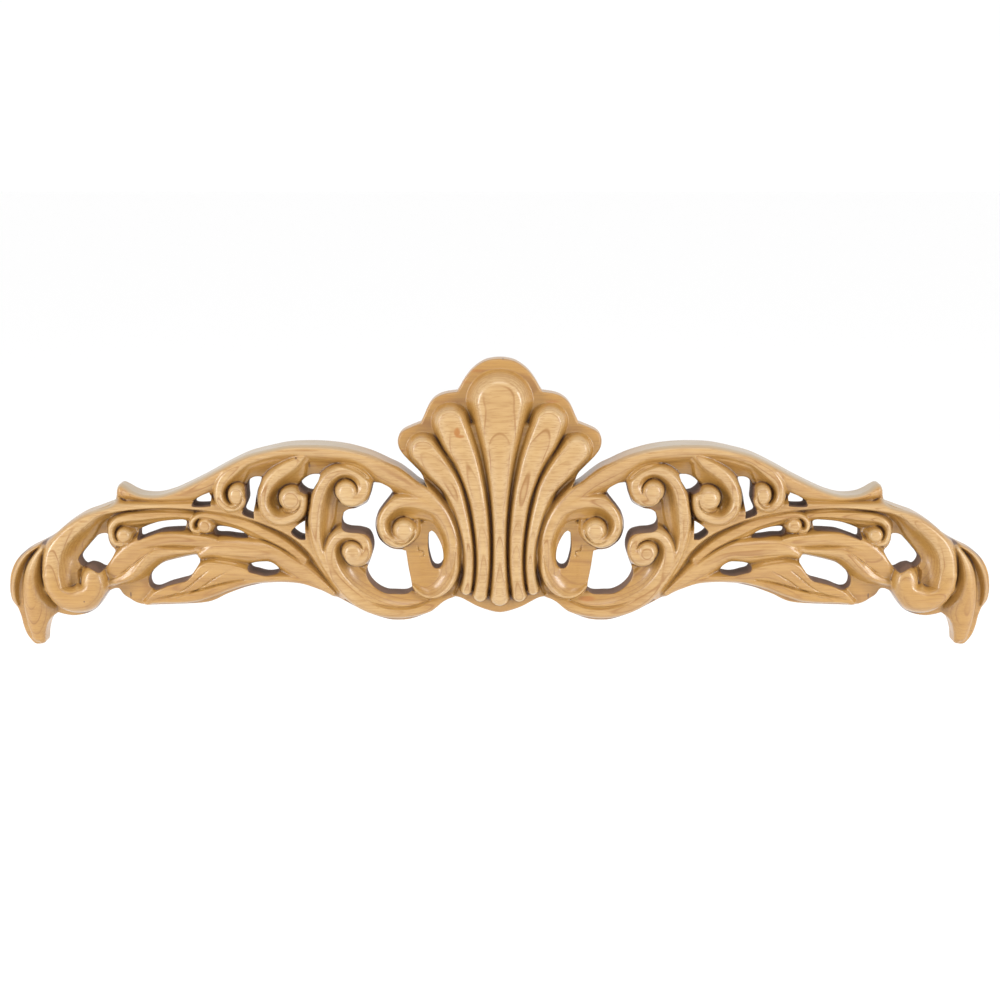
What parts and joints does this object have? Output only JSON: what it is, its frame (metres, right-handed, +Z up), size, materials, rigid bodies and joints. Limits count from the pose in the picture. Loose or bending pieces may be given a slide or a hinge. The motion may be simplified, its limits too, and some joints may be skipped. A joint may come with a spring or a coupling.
{
  "type": "carved wood applique",
  "caption": "Wide carved maple applique with a ribbed scallop shell between two pierced wings of scrolls and leaves, flat at the back, for a wall, mantel or cabinet.",
  "frame": {"origin": "on the flat back, behind the shell, on the carving's middle line", "axes": "+X along the length, +Z up the shell, the carving faces -Y and the flat back faces +Y"},
  "size_m": [0.6996, 0.0297, 0.2059],
  "materials": {
    "maple": "light maple, hand carved, thin clear satin finish"
  },
  "bodies": {
    "root": {"carved_applique": "maple"}
  },
  "joints": []
}
